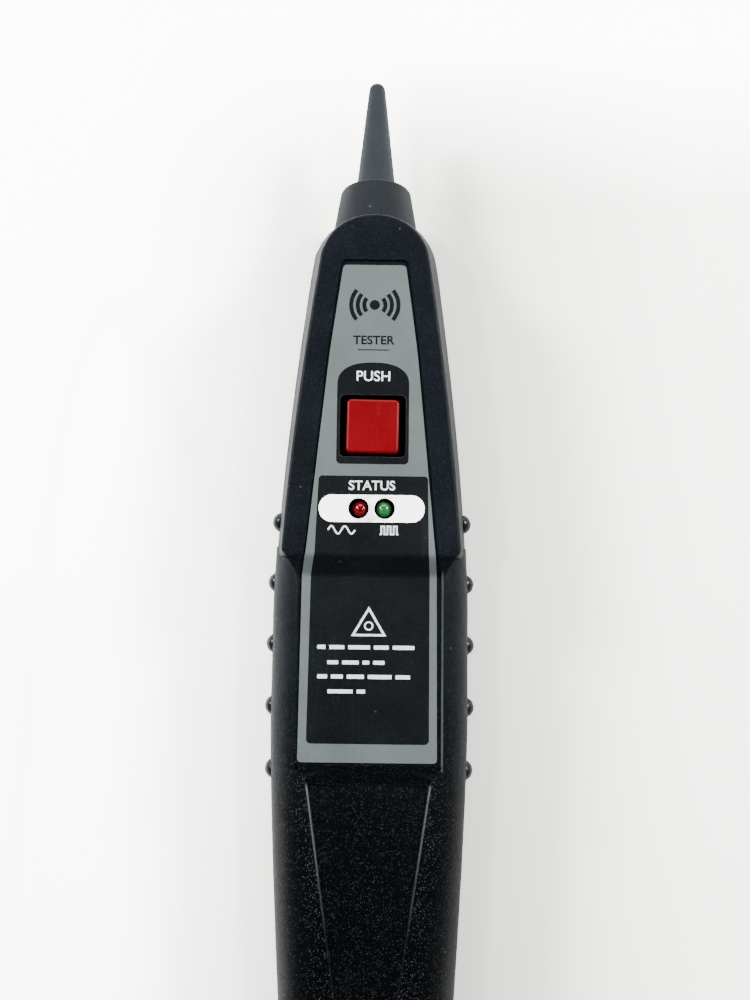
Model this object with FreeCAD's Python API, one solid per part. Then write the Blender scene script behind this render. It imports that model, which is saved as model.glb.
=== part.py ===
import FreeCAD, Part
import math
import os

V = FreeCAD.Vector
os.makedirs("parts", exist_ok=True)

# Handheld tracing probe, in mm. X is its width, +Y points to the probe tip and +Z is the button side.
# It lies on its back on z = 0, with the origin under the middle of its length.

# Driving dimensions of the housing
half_length = 119.0
wall = 2.0
part_z = 13.0              # plane between the front and rear shells
face_z = 28.0              # flat face of the head
ridge_z = 25.5             # platform behind the head
crown_z = 25.2             # top of the rounded lower body and handle
widest = 20.15             # half-width at the widest place
head_taper_y = 6.0         # ahead of this the housing narrows towards the nose
tail_taper_y = -18.0       # behind this it narrows towards the tail
crown_power = 2.9          # roundness of the sections above the parting plane
back_power = 5.0           # and below it, where they are boxier
flat_depth = 0.4           # how much of the rounded back is cut off flat
nose_round_y = 77.4        # centre and radius of the head's round front, at the parting plane
nose_round_r = 13.6
nose_join_y = 79.3         # where the sides run into that round
tail_join_y = -105.8       # where the sides run into the round tail end
tail_round_r = 14.9
end_turn = 75              # the round ends stop here, in degrees, at a small flat

# Head, step and handle
head_end_y = 15.2          # tail end of the flat face
ramp_foot_y = 11.6         # the face slopes down to the platform between these
ridge_half = 14.25
ridge_end_y = -24.6
panel_start_y = -28.6      # the scooped panel of the handle starts here
panel_fade_y = -105.0      # and its two edge lines would meet here
panel_half = 11.5
lip_height = 0.6           # how far the panel lies below its edges, at its start

# Nose
collar_z = 14.0
collar_front_y = 94.8
collar_front_r = 7.75
collar_back_r = 8.95
tip_z = 16.5
tip_base_r = 4.3
tip_end_r = 1.8
torch_z = 9.5

# Button, LEDs and label
button_y = 40.4
button_w = 10.2
button_l = 10.6
button_top = 29.0
flange_top = 21.9
stem_top = 21.6
switch_top = 18.6
well_y = 40.65
well_w = 13.0
well_l = 12.3
led_row = 24.4
led_x = {"red": -2.2, "green": 2.35}
led_hole_x = {"red": -2.55, "green": 2.5}
led_hole_r = 2.0
led_r = 1.6
label_depth = 0.4
label_thick = 0.3

# Grips
stud_rows = [22.5, 9.85, -2.8, -15.45, -28.1]
stud_r = 2.0
stud_out = 1.5

# Inside
board_z = 14.0
board_thick = 1.6
board_top = board_z + board_thick
battery_size = (26.2, 48.5, 17.0)
battery_back_y = -66.4
battery_z = 2.2
door_half = 14.2
door_y = (-68.2, -11.6)
door_thick = 1.75
door_gap = 0.2
tail_step_z = 2.15         # the back behind the door is this much higher, so that the door slides clear
speaker_y = 46.0
wheel_y = -92.0
wheel_x = 9.6
wheel_r = 7.5
wheel_z = 11.8
wheel_thick = 2.4
tail_board_z = 6.6
jack_z = 13.0
jack_bore_r = 1.8
screws = [(9.4, 68.0), (13.2, -4.0), (8.5, -108.0)]


def save(name, shape):
    shape.exportStep("parts/" + name + ".step")
    print(name, len(shape.Solids), round(shape.Volume, 2))


def box(x0, x1, y0, y1, z0, z1):
    return Part.makeBox(x1 - x0, y1 - y0, z1 - z0, V(x0, y0, z0))


def cyl_z(r, x, y, z0, z1):
    return Part.makeCylinder(r, z1 - z0, V(x, y, z0))


def cyl_y(r, x, z, y0, y1):
    return Part.makeCylinder(r, y1 - y0, V(x, y0, z), V(0, 1, 0))


def cyl_x(r, y, z, x0, x1):
    return Part.makeCylinder(r, x1 - x0, V(x0, y, z), V(1, 0, 0))


def fuse_all(shapes):
    joined = shapes[0].fuse(shapes[1:]) if len(shapes) > 1 else shapes[0]
    return joined.removeSplitter()


def carve(shape, tools):
    # One cut at a time, because a joint cut with many tools can leave some of them out
    for tool in tools:
        shape = shape.cut(tool)
    return shape.removeSplitter()


def tube(points, radius, bend):
    # A wire or lead: straight runs joined by tangent arcs, swept by a round section
    path = rounded_path(points, bend, False)
    start = path.Edges[0]
    circle = Part.makeCircle(radius, start.valueAt(start.FirstParameter), start.tangentAt(start.FirstParameter))
    return path.makePipeShell([Part.Wire(circle)], True, False)


def rounded_path(points, radii, closed):
    # Straight runs between the points, with an arc of the given radius at each corner
    count = len(points)
    if not isinstance(radii, (list, tuple)):
        radii = [radii] * count
    ends = []
    for i in range(count):
        here = points[i]
        if not closed and i in (0, count - 1):
            ends.append((here, here, None))
            continue
        before = (points[i - 1] - here).normalize()
        after = (points[(i + 1) % count] - here).normalize()
        turn = math.pi - before.getAngle(after)
        if radii[i] == 0 or turn < 1e-4:
            ends.append((here, here, None))
            continue
        reach = radii[i] * math.tan(turn / 2)
        middle = (before + after).normalize()
        top = here + middle * (radii[i] / math.cos(turn / 2) - radii[i])
        ends.append((here + before * reach, here + after * reach, top))
    edges = []
    for i in range(count):
        if ends[i][2] is not None:
            edges.append(Part.Arc(ends[i][0], ends[i][2], ends[i][1]).toShape())
        if closed or i < count - 1:
            nearest = ends[(i + 1) % count][0]
            if (nearest - ends[i][1]).Length > 1e-6:
                edges.append(Part.makeLine(ends[i][1], nearest))
    return Part.Wire(edges)


def plate(outline, radii, z0, z1):
    # A flat plate from a plan outline of (x, y) corners
    points = [V(x, y, z0) for x, y in outline]
    return Part.Face(rounded_path(points, radii, True)).extrude(V(0, 0, z1 - z0))


def slab(profile, radii, half):
    # A side profile of (y, z) corners, extruded across the width
    points = [V(-half, y, z) for y, z in profile]
    return Part.Face(rounded_path(points, radii, True)).extrude(V(2 * half, 0, 0))


def mirrored(shape):
    return shape.mirror(V(0, 0, 0), V(1, 0, 0))


# ---- housing surfaces

def half_width(y):
    if y > head_taper_y:
        return widest - 0.00863 * (y - head_taper_y) ** 1.549
    if y < tail_taper_y:
        return widest - 0.0126 * (tail_taper_y - y) ** 1.35
    return widest


def round_curve(y, half, height, power, turns):
    # Part of a superellipse in the plane Y = y: turns 0.5 is a half, 0.25 a quarter
    points = []
    steps = int(32 * turns)
    for i in range(steps + 1):
        angle = 2 * math.pi * turns * i / steps
        c = math.cos(angle)
        s = math.sin(angle)
        k = (abs(c) ** power + abs(s) ** power) ** (-1 / power)
        points.append(V(half * c * k, y, part_z + height * s * k))
    end = V(0, 0, -height) if turns == 0.5 else V(-1, 0, 0)
    curve = Part.BSplineCurve()
    curve.interpolate(Points=points, InitialTangent=V(0, 0, height), FinalTangent=end)
    return curve.toShape()


def closed_section(y, half, height, power):
    # The half section, carried 1 mm past the parting plane and closed there
    past = part_z - math.copysign(1.0, height)
    corners = [V(-half, y, part_z), V(-half, y, past), V(half, y, past), V(half, y, part_z)]
    edges = [round_curve(y, half, height, power, 0.5)]
    edges += [Part.makeLine(corners[i], corners[i + 1]) for i in range(3)]
    return Part.Wire(edges)


def body_rows(y0, y1, inset):
    # Places along the housing: Y, half-width, and the share of the full height
    count = max(2, round((y1 - y0) / 9.0))
    places = [y0 + (y1 - y0) * i / count for i in range(count + 1)]
    return [(y, half_width(y) - inset, 1.0) for y in places]


def end_rows(centre_y, radius, power, heading):
    # The round of a tail or nose end, up to a small flat
    rows = []
    for degrees in (20, 36, 51, 64, end_turn):
        rise = math.sin(math.radians(degrees))
        share = (1 - rise ** power) ** (1 / power)
        rows.append((centre_y + heading * radius * rise, radius * math.cos(math.radians(degrees)), share))
    return rows


def long_body(rows, height, power):
    wires = [closed_section(y, half, height * share, power) for y, half, share in rows]
    return Part.makeLoft(wires, True, False)


def tail_rows(inset, power):
    centre_y = -half_length + tail_round_r * math.sin(math.radians(end_turn))
    return end_rows(centre_y, tail_round_r - inset, power, -1)[::-1]


def crown_height(x, y):
    return part_z + (crown_z - part_z) * (1 - (x / half_width(y)) ** crown_power) ** (1 / crown_power)


def scoop(drop):
    # The hollowed thumb panel of the handle, between two slanted lips, and the short ramp that leads down to it
    wires = []
    stations = 7
    for i in range(stations):
        y = panel_start_y + 0.6 - i * 12.0
        share = (y - panel_fade_y) / (panel_start_y - panel_fade_y)
        half = panel_half * share
        lip = lip_height * share
        sag = (0.25 + 0.6 * min(1.0, i / 2)) * share ** 1.5
        edge = crown_height(half, y) - lip - drop
        arc = Part.Arc(V(-half, y, edge), V(0, y, edge - sag), V(half, y, edge)).toShape()
        out = half + 0.8 * (lip + 1.0)
        over = edge + lip + 1.0
        corners = [V(half, y, edge), V(out, y, over), V(out, y, 40)]
        corners += [V(-out, y, 40), V(-out, y, over), V(-half, y, edge)]
        wires.append(Part.Wire([arc] + [Part.makeLine(corners[j], corners[j + 1]) for j in range(5)]))
    trough = Part.makeLoft(wires, True, False)
    low = crown_height(panel_half, panel_start_y) - lip_height - 0.25
    foot = panel_start_y - 0.4
    plan = [(-ridge_half, ridge_end_y), (ridge_half, ridge_end_y), (panel_half, foot), (-panel_half, foot)]
    profile = [(ridge_end_y + 1.0, 40), (ridge_end_y, ridge_z - drop), (foot, low - drop), (foot, 40)]
    ramp = plate(plan, 0, 10.0, 40.0).common(slab(profile, 0, 20.0))
    return trough.fuse(ramp)


def head_outline(z, inset):
    # Plan outline of the head at the parting plane or at its face: sides, round front, rounded tail corners
    at_face = z > part_z + 5
    corner = 1.5
    end_y = head_end_y + inset
    if at_face:
        centre_y, arch_x, arch_y, power, join_y = 72.4, 11.1 - inset, 11.4 - inset, 2.1, 74.0
    else:
        arch_x = arch_y = nose_round_r - inset
        centre_y, power, join_y = nose_round_y, 2.0, nose_join_y
        end_y -= 1.0
    start = math.atan2(join_y - centre_y, arch_x)
    arch = []
    steps = 12
    for i in range(steps + 1):
        angle = start + (math.pi - 2 * start) * i / steps
        c = math.cos(angle)
        s = math.sin(angle)
        k = (abs(c) ** power + s ** power) ** (-1 / power)
        arch.append(V(arch_x * c * k, centre_y + arch_y * s * k, z))
    side = []
    steps = 5
    for i in range(steps + 1):
        y = end_y + corner + (join_y - end_y - corner) * i / steps
        draft = 2.5 + 0.6 * (y - head_end_y) / 56.0 if at_face else 0.0
        side.append(V(half_width(y) - draft - inset, y, z))
    side[-1] = arch[0]
    lean = V(side[-1].x - side[-2].x, side[-1].y - side[-2].y, 0)
    front = Part.BSplineCurve()
    front.interpolate(Points=arch, InitialTangent=lean, FinalTangent=V(lean.x, -lean.y, 0))
    right = Part.BSplineCurve()
    right.interpolate(side)
    left = Part.BSplineCurve()
    left.interpolate([V(-p.x, p.y, z) for p in reversed(side)])
    foot = side[0]
    bend = corner * (1 - math.sqrt(0.5))
    low_right = Part.Arc(V(foot.x - corner, end_y, z), V(foot.x - bend, end_y + bend, z), foot)
    low_left = Part.Arc(V(-foot.x, foot.y, z), V(-foot.x + bend, end_y + bend, z), V(-foot.x + corner, end_y, z))
    base = Part.makeLine(V(-foot.x + corner, end_y, z), V(foot.x - corner, end_y, z))
    bends = [low_right, right, front, left, low_left]
    return Part.Wire([b.toShape() for b in bends] + [base])


def head_block(inset):
    block = Part.makeLoft([head_outline(part_z, inset), head_outline(face_z - inset, inset)], True, True)
    below = Part.Face(head_outline(part_z, inset)).extrude(V(0, 0, -1))
    if inset == 0:
        rim = [e for e in block.Edges if e.BoundBox.ZMin > face_z - 0.01]
        block = block.makeFillet(0.6, rim)
    return block.fuse(below)


def ridge_block():
    # The platform that carries the lower half of the label, and the ramp up to the head
    flare = 2.4
    right = [(ridge_half, ridge_end_y - 1.0), (ridge_half, ramp_foot_y), (ridge_half + flare, head_end_y + 0.4),
             (ridge_half, head_end_y + 4)]
    plan = right + [(-x, y) for x, y in reversed(right)]
    body = plate(plan, [0, 6.0, 0, 0, 0, 0, 6.0, 0], part_z, face_z + 1)
    profile = [(head_end_y + 4, part_z), (head_end_y + 4, face_z), (head_end_y, face_z), (ramp_foot_y, ridge_z),
               (ridge_end_y - 1, ridge_z), (ridge_end_y - 1, part_z)]
    return body.common(slab(profile, [0, 0, 2.0, 2.0, 0, 0], 20.0))


def label_band(depth, thick):
    # A thin layer that follows the face, the ramp and the platform, at a depth below them
    line = [(90.0, face_z), (head_end_y, face_z), (ramp_foot_y, ridge_z), (-40.0, ridge_z)]
    top = [(y, z - depth + thick) for y, z in line]
    bottom = [(y, z - depth) for y, z in reversed(line)]
    return slab(top + bottom, [0, 2.0, 2.0, 0, 0, 2.0, 2.0, 0], 20.0)


def label_recess():
    right = [(6.7, 74.3), (9.1, 55.8), (12.95, 16.0), (ridge_half - 0.4, ramp_foot_y)]
    right.append((ridge_half - 0.4, ridge_end_y + 0.3))
    plan = right + [(-x, y) for x, y in reversed(right)]
    radii = [1.2, 200.0, 3.0, 3.0, 1.0]
    return plate(plan, radii + radii[::-1], 20.0, 30.0).common(label_band(label_depth, 2.0))


def stud_cutters(extra):
    holes = []
    for y in stud_rows:
        holes.append(cyl_x(stud_r + extra, y, part_z, half_width(y) - 4, half_width(y) + 4))
        holes.append(cyl_x(stud_r + extra, y, part_z, -half_width(y) - 4, -half_width(y) + 4))
    return holes


def wheel_slot():
    half = 6.7
    return box(wheel_x, wheel_x + 12, wheel_y - half, wheel_y + half, wheel_z - 0.4, wheel_z + wheel_thick + 0.4)


def both_sides(pairs):
    return [(s * x, y) for x, y in pairs for s in (1, -1)]


def front_outside():
    rows = tail_rows(0, crown_power) + body_rows(tail_join_y, head_end_y + 2, 0)
    body = long_body(rows, crown_z - part_z, crown_power)
    return fuse_all([body, ridge_block(), head_block(0)]).cut(scoop(0))


def front_inside():
    rows = tail_rows(wall, crown_power) + body_rows(tail_join_y, head_end_y + 3, wall)
    body = long_body(rows, crown_z - part_z - wall, crown_power)
    return fuse_all([body, head_block(wall)]).cut(scoop(wall))


def front_shell():
    outside = front_outside()
    inside = front_inside()
    shell = outside.cut(inside)
    posts = [cyl_z(2.6, x, y, part_z, face_z - 1) for x, y in both_sides(screws)]
    well = plate(rectangle(0, well_y, well_w + 3, well_l + 3), 1.5, 22.0, face_z - 1)
    shell = shell.fuse([p.common(outside) for p in posts] + [well]).removeSplitter()
    cuts = stud_cutters(0.05) + [label_recess()]
    cuts.append(plate(rectangle(0, well_y, well_w, well_l), 1.0, 23.4, 40.0))
    cuts.append(plate(rectangle(0, button_y, button_w + 0.6, button_l + 0.6), 0.8, 15.0, 40.0))
    cuts += [cyl_z(led_hole_r, led_hole_x[k], led_row, 20.0, 40.0) for k in led_x]
    cuts += [cyl_z(1.22, x, y, part_z - 2, 20.5) for x, y in both_sides(screws)]
    cuts += [wheel_slot(), collar_cutter(), cyl_y(3.1, 0, jack_z, -half_length - 1, -half_length + 6)]
    cuts.append(box(-60, 60, -150, 150, -20, part_z))
    return carve(shell, cuts)


def rectangle(x, y, w, l):
    return [(x - w / 2, y - l / 2), (x + w / 2, y - l / 2), (x + w / 2, y + l / 2), (x - w / 2, y + l / 2)]


def back_body(inset, height, step_z):
    rows = tail_rows(inset, back_power) + body_rows(tail_join_y, nose_join_y, inset)
    rows += end_rows(nose_round_y, nose_round_r - inset, back_power, 1)
    step = box(-60, 60, -150, door_y[0] - door_gap, -20, step_z)
    return long_body(rows, -height, back_power).cut([step, box(-60, 60, -150, 150, -20, 0)])


def grille():
    slots = []
    for i in range(-3, 4):
        y = speaker_y + 3.2 * i
        half = math.sqrt(11.5 ** 2 - (3.2 * i) ** 2)
        slots.append(plate(rectangle(0, y, 2 * half, 1.6), 0.75, -1.0, 4.0))
    return slots


def door_opening():
    gap = door_gap
    outer = box(-door_half - gap, door_half + gap, door_y[0] - gap, door_y[1] + gap, -5, door_thick + gap)
    lip = box(-10, 10, door_y[1], door_y[1] + 1.8, 0.9, door_thick + gap)
    half = battery_size[0] / 2 + 0.3
    through = box(-half, half, battery_back_y - 0.6, door_y[1] - 1.5, -5, 8)
    return [outer, lip, through]


def rear_shell():
    outside = back_body(0, part_z + flat_depth, tail_step_z)
    inside = back_body(wall, part_z - wall, tail_step_z + wall)
    shell = outside.cut(inside)
    extras = []
    for x, y in both_sides(screws):
        extras.append(cyl_z(3.4, x, y, 0, part_z).common(outside))
    for x, y in both_sides([(12.0, 12.0), (11.6, 58.0)]):
        extras.append(cyl_z(1.6, x, y, 1.0, board_z))
    for x, y in [(-8.0, -79.0), (-8.0, -97.0), (10.4, -79.0)]:
        extras.append(cyl_z(1.4, x, y, tail_step_z + 1.0, tail_board_z))
    ribs = [box(-30, 30, -10.6, -9.0, 0, 8.0), box(-30, 30, -68.2, -66.8, 0, 8.0)]
    extras += [r.common(outside) for r in ribs]
    shell = shell.fuse(extras).removeSplitter()
    cuts = stud_cutters(0.05) + door_opening() + grille()
    for x, y in both_sides(screws):
        floor = tail_step_z if y < door_y[0] else 0.0
        cuts.append(cyl_z(2.4, x, y, -1, floor + 3.6))
        cuts.append(cyl_z(1.35, x, y, -1, 20))
    cuts += [wheel_slot(), collar_cutter(), cyl_y(3.1, 0, jack_z, -half_length - 1, -half_length + 6)]
    cuts.append(box(-60, 60, -150, 150, part_z, 40))
    return carve(shell, cuts)


# ---- nose

def collar_radius(y):
    return collar_back_r + (collar_front_r - collar_back_r) * (y - 87.0) / (collar_front_y - 87.0)


def turned(profile, axis_z):
    # (radius, y) corners turned about an axis along Y
    points = [V(r, y, axis_z) for r, y in profile]
    points.append(points[0])
    return Part.Face(Part.makePolygon(points)).revolve(V(0, 0, axis_z), V(0, 1, 0), 360)


def collar_cutter():
    gap = 0.05
    back = [(0, 78.9), (9.35, 78.9), (9.35, 81.1), (7.65, 81.1), (7.65, 84.0), (collar_radius(84) + gap, 84.0)]
    return turned(back + [(collar_radius(96) + gap, 96.0), (0, 96.0)], collar_z)


def nose_collar():
    edge = 0.8
    inner = 6.5
    corner = [(collar_front_r - edge * (1 - math.cos(a)), collar_front_y - edge * (1 - math.sin(a)))
              for a in [math.radians(d) for d in (0, 22.5, 45, 67.5, 90)]]
    back = [(inner, 79.0), (9.3, 79.0), (9.3, 81.0), (7.6, 81.0), (7.6, 84.05), (collar_radius(84.05), 84.05)]
    ring = turned(back + corner + [(inner, collar_front_y)], collar_z)
    disc = cyl_y(inner + 0.2, 0, collar_z, 87.5, 93.0)
    body = ring.fuse(disc)
    holes = [cyl_y(tip_base_r + 0.02, 0, tip_z, 80.0, 99.0), cyl_y(2.55, 0, torch_z, 80.0, 99.0)]
    return body.cut(holes).removeSplitter()


def probe_tip():
    # A straight root in the collar, then a long cone with a rounded end
    root_y = 82.0
    cone_y = 94.0
    bore_r = 1.05
    bore_y = 108.0
    ball_y = half_length - tip_end_r
    lean = math.atan((tip_base_r - tip_end_r) / (ball_y - cone_y))
    outline = [(0, bore_y), (bore_r, bore_y), (bore_r, root_y), (tip_base_r, root_y), (tip_base_r, cone_y)]
    ball = [V(tip_end_r * math.cos(a), ball_y + tip_end_r * math.sin(a), tip_z)
            for a in (lean, math.radians(45), math.radians(90))]
    points = [V(r, y, tip_z) for r, y in outline] + [ball[0]]
    edges = [Part.makeLine(points[i], points[i + 1]) for i in range(len(points) - 1)]
    edges.append(Part.Arc(ball[0], ball[1], ball[2]).toShape())
    edges.append(Part.makeLine(ball[2], points[0]))
    return Part.Face(Part.Wire(edges)).revolve(V(0, 0, tip_z), V(0, 1, 0), 360)


def tip_contact():
    rod = cyl_y(1.0, 0, tip_z, 78.0, 107.8)
    return rod.fuse(cyl_y(1.8, 0, tip_z, 79.4, 81.8)).removeSplitter()


def torch_led():
    body = cyl_y(2.45, 0, torch_z, 87.4, 93.4)
    dome = Part.makeSphere(2.45, V(0, 93.4, torch_z)).common(box(-5, 5, 93.4, 99, 0, 20))
    flange = cyl_y(2.9, 0, torch_z, 86.2, 87.4).common(box(-5, 5, 80, 99, 0, 11.9))
    flange = flange.common(cyl_y(6.3, 0, collar_z, 80, 99))
    return fuse_all([body, dome, flange])


# ---- front parts

def label_overlay():
    left = [(-6.25, 73.2), (-8.65, 55.8), (-12.6, 16.2), (-13.45, ramp_foot_y), (-13.65, ridge_end_y + 0.5)]
    right = [(13.05, ridge_end_y + 0.5), (12.85, ramp_foot_y), (12.35, 16.2), (8.65, 55.8), (6.25, 73.2)]
    radii = [0.8, 200.0, 3.0, 3.0, 0.7]
    sheet = plate(left + right, radii + radii[::-1], 20.0, 30.0).common(label_band(label_depth, label_thick))
    cuts = [plate(rectangle(0, well_y, well_w, well_l), 1.0, 20.0, 30.0)]
    cuts += [cyl_z(led_hole_r, led_hole_x[k], led_row, 20.0, 30.0) for k in led_x]
    return sheet.cut(cuts)


def push_button():
    cap = plate(rectangle(0, button_y, button_w, button_l), 0.9, flange_top, button_top)
    rim = [e for e in cap.Edges if e.BoundBox.ZMin > button_top - 0.01]
    cap = cap.makeFillet(0.5, rim)
    dish_r = 60.0
    cap = cap.cut(Part.makeSphere(dish_r, V(0, button_y, button_top + dish_r - 0.2)))
    flange = plate(rectangle(0, button_y, button_w + 1.6, button_l + 1.6), 1.0, 20.6, flange_top)
    stem_hole = box(-1.6, 1.6, button_y - 1.6, button_y + 1.6, 18.0, stem_top)
    body = cap.fuse(flange).cut([stem_hole]).removeSplitter()
    return body.rotate(V(0, button_y, 0), V(0, 0, 1), -0.8)


def switch_plunger():
    return box(-1.5, 1.5, button_y - 1.5, button_y + 1.5, 17.6, stem_top)


def switch_body():
    body = plate(rectangle(0, button_y, 9.0, 9.0), 0.5, board_top, switch_top)
    return body.cut(box(-1.55, 1.55, button_y - 1.55, button_y + 1.55, 16.2, 20.0))


def button_spring():
    mean_r = 3.0
    wire_r = 0.22
    low = switch_top + 0.27
    rise = 1.4
    coils = 2.5
    steps = 40
    points = []
    for i in range(steps + 1):
        angle = 2 * math.pi * coils * i / steps
        points.append(V(mean_r * math.cos(angle), button_y + mean_r * math.sin(angle), low + rise * i / steps))
    curve = Part.BSplineCurve()
    curve.interpolate(points)
    path = Part.Wire(curve.toShape())
    section = Part.Wire(Part.makeCircle(wire_r, points[0], curve.tangent(0)[0]))
    return path.makePipeShell([section], True, False)


def signal_led(colour):
    x = led_x[colour]
    top = 27.55
    body = cyl_z(led_r, x, led_row, 22.6, top - led_r)
    dome = Part.makeSphere(led_r, V(x, led_row, top - led_r))
    flange = cyl_z(1.9, x, led_row, 21.8, 22.6)
    return fuse_all([body, dome, flange])


def led_pins():
    pins = []
    for x in led_x.values():
        pins += [cyl_z(0.25, x + s * 1.0, led_row, board_top - 2.0, 21.8) for s in (-1, 1)]
    return Part.Compound(pins)


def grip_strip(side):
    # A rubber bar inside the housing wall, with studs that stand out through round holes
    base_thick = 1.2
    half = 2.6
    ends = (stud_rows[-1] - 3, stud_rows[0] + 3)
    rows = [ends[0] + (ends[1] - ends[0]) * i / 6 for i in range(7)]
    # The gap to the wall is wider in the head, whose walls lean inwards
    outer = [(half_width(y) - wall - (0.8 if y > head_end_y else 0.2), y) for y in rows]
    inner = [(x - base_thick, y) for x, y in reversed(outer)]
    base = plate(outer + inner, 0, part_z - half, part_z + half)
    studs = []
    for y in stud_rows:
        x = half_width(y)
        r = (stud_r ** 2 + stud_out ** 2) / (2 * stud_out)
        cap = Part.makeSphere(r, V(x + stud_out - r, y, part_z)).common(cyl_x(stud_r, y, part_z, x, x + 5))
        studs += [cyl_x(stud_r, y, part_z, x - wall - 1.2, x), cap]
    strip = fuse_all([base] + studs)
    return strip if side > 0 else mirrored(strip)


# ---- inside

def circuit_board():
    right = [(13.6, 1.0), (13.6, 40.0), (13.0, 62.5), (5.6, 64.0), (5.6, 77.0)]
    plan = right + [(-x, y) for x, y in reversed(right)]
    board = plate(plan, 0.6, board_z, board_top)
    return board.cut([cyl_z(0.3, x + s, led_row, 0, 30) for x in led_x.values() for s in (-1, 1)])


def amplifier_chip():
    body = box(-3.2, 3.2, 8.0, 17.0, board_top + 0.3, board_top + 2.1)
    legs = []
    for i in range(7):
        y = 8.7 + 1.27 * i
        for s in (-1, 1):
            x = s * 3.6
            legs.append(box(x - 0.4, x + 0.4, y - 0.2, y + 0.2, board_top, board_top + 0.9))
    return fuse_all([body] + legs)


def capacitors():
    places = [(8.5, 9.0), (8.5, 16.5), (-8.8, 12.0)]
    cans = []
    for x, y in places:
        can = cyl_z(2.4, x, y, board_top, board_top + 6.0)
        ring = Part.makeTorus(2.45, 0.25, V(x, y, board_top + 1.0))
        cans.append(can.cut(ring))
    return Part.Compound(cans)


def resistors():
    parts = []
    for i in range(5):
        y = 52.0 + 2.6 * i
        for x in (-6.5, 6.5):
            parts.append(box(x - 1.3, x + 1.3, y - 0.65, y + 0.65, board_top, board_top + 0.55))
    return Part.Compound(parts)


def speaker_basket():
    rim = cyl_z(11.6, 0, speaker_y, 3.0, 4.2)
    cone = Part.makeCone(10.6, 6.0, 3.2, V(0, speaker_y, 4.2))
    hollow = Part.makeCone(9.9, 5.2, 3.8, V(0, speaker_y, 2.9))
    slots = [box(-1.6, 1.6, 6.9, 13, 4.8, 7.1).rotated(V(0, 0, 0), V(0, 0, 1), 90 * i + 45) for i in range(4)]
    slots = [s.translated(V(0, speaker_y, 0)) for s in slots]
    top = cyl_z(6.0, 0, speaker_y, 7.0, 7.4)
    return fuse_all([rim, cone, top]).cut([hollow, cyl_z(2.0, 0, speaker_y, 5, 9)] + slots)


def speaker_cone():
    outer = Part.makeCone(9.2, 2.2, 2.6, V(0, speaker_y, 3.2))
    inner = Part.makeCone(8.9, 1.9, 2.6, V(0, speaker_y, 2.9))
    return outer.cut(inner).cut(box(-20, 20, 20, 70, 0, 3.2))


def speaker_magnet():
    magnet = cyl_z(5.4, 0, speaker_y, 7.4, 10.4)
    return magnet.makeChamfer(0.3, [e for e in magnet.Edges if e.BoundBox.ZMin > 10.3])


def speaker_gasket():
    ring = cyl_z(11.2, 0, speaker_y, 2.0, 3.0).cut(cyl_z(9.9, 0, speaker_y, 1, 4))
    return ring.common(back_body(wall + 0.03, part_z - wall - 0.03, 4.0))


def battery_block():
    w, l, h = battery_size
    case = box(-w / 2, w / 2, battery_back_y, battery_back_y + l, battery_z, battery_z + h)
    long_edges = [e for e in case.Edges if abs(e.tangentAt(e.FirstParameter).y) > 0.9]
    return case.makeFillet(2.0, long_edges)


def battery_front():
    return battery_back_y + battery_size[1]


def battery_middle():
    return battery_z + battery_size[2] / 2


def battery_terminals():
    y = battery_front()
    z = battery_middle()
    stud = cyl_y(2.8, -6.35, z, y, y + 2.8)
    socket = cyl_y(4.4, 6.35, z, y, y + 2.8).cut(cyl_y(3.2, 6.35, z, y + 0.6, y + 4))
    return Part.Compound([stud, socket])


def battery_snap():
    y = battery_front() + 2.9
    z = battery_middle()
    body = box(-12.0, 12.0, y, y + 2.4, z - 5.5, z + 5.5)
    edges = [e for e in body.Edges if abs(e.tangentAt(e.FirstParameter).y) > 0.9]
    return body.makeFillet(3.0, edges)


def battery_lead(side):
    y = battery_front() + 5.3
    z = battery_middle()
    points = [V(side * 6.0, y, z), V(side * 6.0, y + 3.2, z), V(side * 6.0, y + 5.0, board_top + 2.4),
              V(side * 6.0, y + 9.4, board_top + 2.4), V(side * 6.0, y + 9.4, board_top)]
    return tube(points, 0.6, 0.9)


def foam_pad():
    return box(-9.0, 9.0, -60.0, -36.0, battery_z + battery_size[2], 20.4)


def battery_door():
    outside = back_body(0, part_z + flat_depth, tail_step_z)
    sheet = box(-door_half, door_half, door_y[0], door_y[1], 0.15, door_thick)
    lip = box(-9.8, 9.8, door_y[1], door_y[1] + 1.6, 1.0, door_thick)
    door = sheet.common(outside).fuse(lip)
    grooves = []
    for i in range(5):
        y = door_y[0] + 5.0 + 1.8 * i
        grooves.append(cyl_x(0.5, y, 0.05, -6.0, 6.0))
    return door.cut(grooves).removeSplitter()


def volume_wheel():
    z1 = wheel_z + wheel_thick
    disc = cyl_z(wheel_r, wheel_x, wheel_y, wheel_z, z1)
    disc = disc.makeChamfer(0.3, [e for e in disc.Edges if e.Length > 20])
    notches = []
    count = 28
    for i in range(count):
        a = 2 * math.pi * i / count
        notches.append(cyl_z(0.4, wheel_x + wheel_r * math.cos(a), wheel_y + wheel_r * math.sin(a), 0, 30))
    return disc.cut(notches + [cyl_z(1.2, wheel_x, wheel_y, 0, 30)])


def volume_shaft():
    shaft = cyl_z(1.2, wheel_x, wheel_y, 8.6, wheel_z + wheel_thick - 0.2)
    return shaft.cut(cyl_z(0.6, wheel_x, wheel_y, 11.0, 20))


def wheel_screw():
    z = wheel_z + wheel_thick
    head = cyl_z(1.7, wheel_x, wheel_y, z, z + 0.9)
    slot = box(wheel_x - 2, wheel_x + 2, wheel_y - 0.2, wheel_y + 0.2, z + 0.5, z + 2)
    return head.fuse(cyl_z(0.6, wheel_x, wheel_y, 11.4, z)).cut(slot).removeSplitter()


def volume_control():
    can = cyl_z(3.8, wheel_x, wheel_y, 7.8, 11.4)
    return can.cut(cyl_z(1.25, wheel_x, wheel_y, 8.2, 12))


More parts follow.
